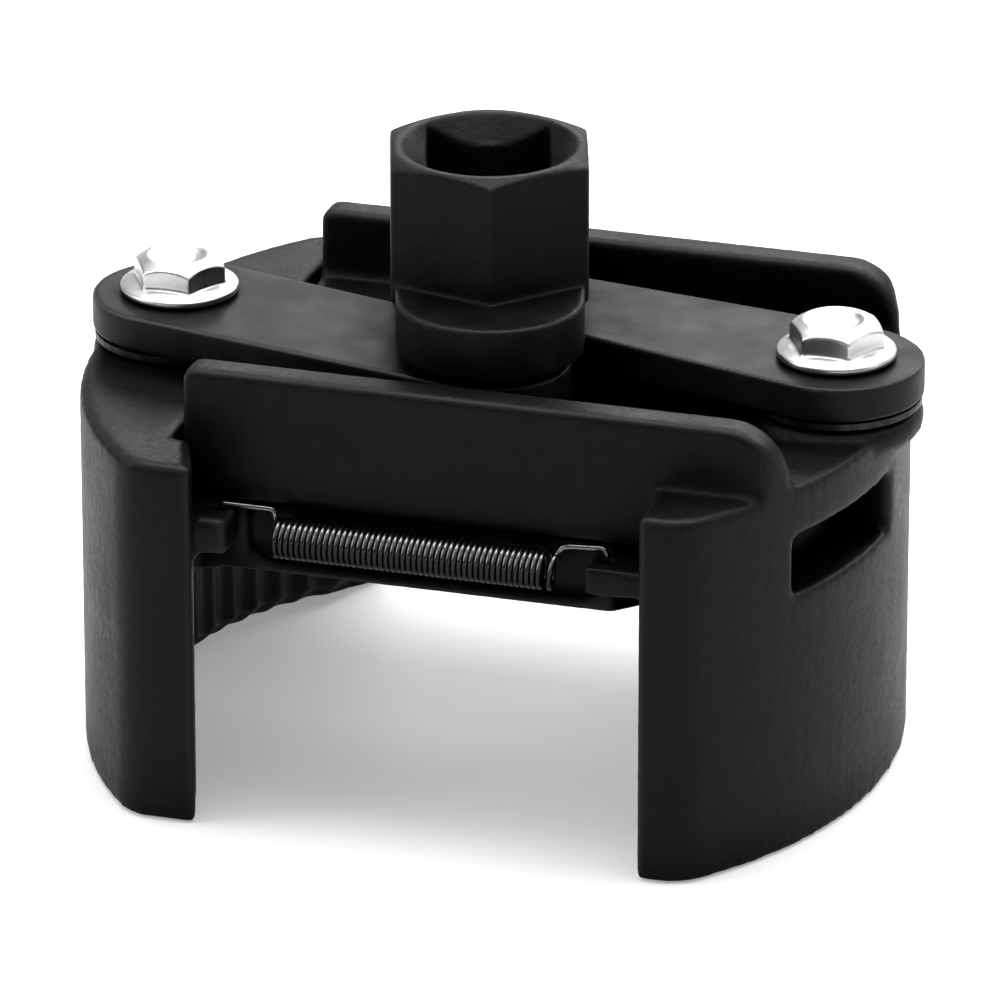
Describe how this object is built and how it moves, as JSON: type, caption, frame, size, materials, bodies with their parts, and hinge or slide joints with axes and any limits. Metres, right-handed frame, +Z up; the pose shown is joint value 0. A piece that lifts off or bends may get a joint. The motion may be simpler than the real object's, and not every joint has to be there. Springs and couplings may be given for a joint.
{
  "type": "oil filter wrench",
  "caption": "Two curved jaws slide apart on a flat tongue; a hex-headed hub with a square drive socket draws them together through crank pins and links.",
  "frame": {"origin": "centre of the drive socket's floor, on the drive hub's axis, jaws closed", "axes": "+Z up along the drive hub's axis, away from the filter; +X along the slide, from the tongue jaw to the channel jaw; -Y is the front"},
  "size_m": [0.0919, 0.0692, 0.067],
  "materials": {
    "jaw_casting": "black satin coating over fine cast steel texture",
    "hub_forging": "blackened forged steel, satin, lighter at worn edges",
    "link_steel": "oil-blackened steel plate, bright at the worn edges",
    "bolt_zinc": "bright zinc plating",
    "pin_steel": "ground steel, oiled",
    "washer_steel": "dark oiled steel",
    "spring_steel": "blackened spring steel"
  },
  "bodies": {
    "channel_jaw": {"channel_jaw": "jaw_casting", "right_link_bolt": "bolt_zinc", "right_pivot_sleeve": "pin_steel", "right_spacer_washer": "washer_steel", "front_spring": "spring_steel", "rear_spring": "spring_steel"},
    "tongue_jaw": {"tongue_jaw": "jaw_casting", "left_link_bolt": "bolt_zinc", "left_pivot_sleeve": "pin_steel", "left_spacer_washer": "washer_steel"},
    "right_link": {"right_link": "link_steel"},
    "left_link": {"left_link": "link_steel"},
    "drive_hub": {"drive_hub": "hub_forging", "front_crank_pin": "pin_steel", "rear_crank_pin": "pin_steel", "front_pin_snap_ring": "spring_steel", "rear_pin_snap_ring": "spring_steel", "front_thrust_washer": "washer_steel"}
  },
  "joints": [
    {"name": "tongue_slide", "type": "slide", "parent": "channel_jaw", "child": "tongue_jaw", "axis": [-1, 0, 0], "range_m": [0, 0.014], "deforming": ["front_spring", "rear_spring"]},
    {"name": "right_link_hinge", "type": "hinge", "parent": "channel_jaw", "child": "right_link", "pos_m": [0.0383, 0, -0.0087], "axis": [0, 0, 1], "range_deg": [-0.8, 0]},
    {"name": "hub_hinge", "type": "hinge", "parent": "right_link", "child": "drive_hub", "pos_m": [-0.0028, 0.0089, -0.0087], "axis": [0, 0, 1], "range_deg": [-42.5, 0]},
    {"name": "left_link_hinge", "type": "hinge", "parent": "tongue_jaw", "child": "left_link", "pos_m": [-0.0348, 0, -0.0096], "axis": [0, 0, 1], "range_deg": [0, 1.05]}
  ],
  "couplings": [
    {"joint": "right_link_hinge", "follows": "tongue_slide", "rad_per_m": -0.96},
    {"joint": "hub_hinge", "follows": "tongue_slide", "rad_per_m": -52.66},
    {"joint": "left_link_hinge", "follows": "tongue_slide", "rad_per_m": 1.264}
  ]
}
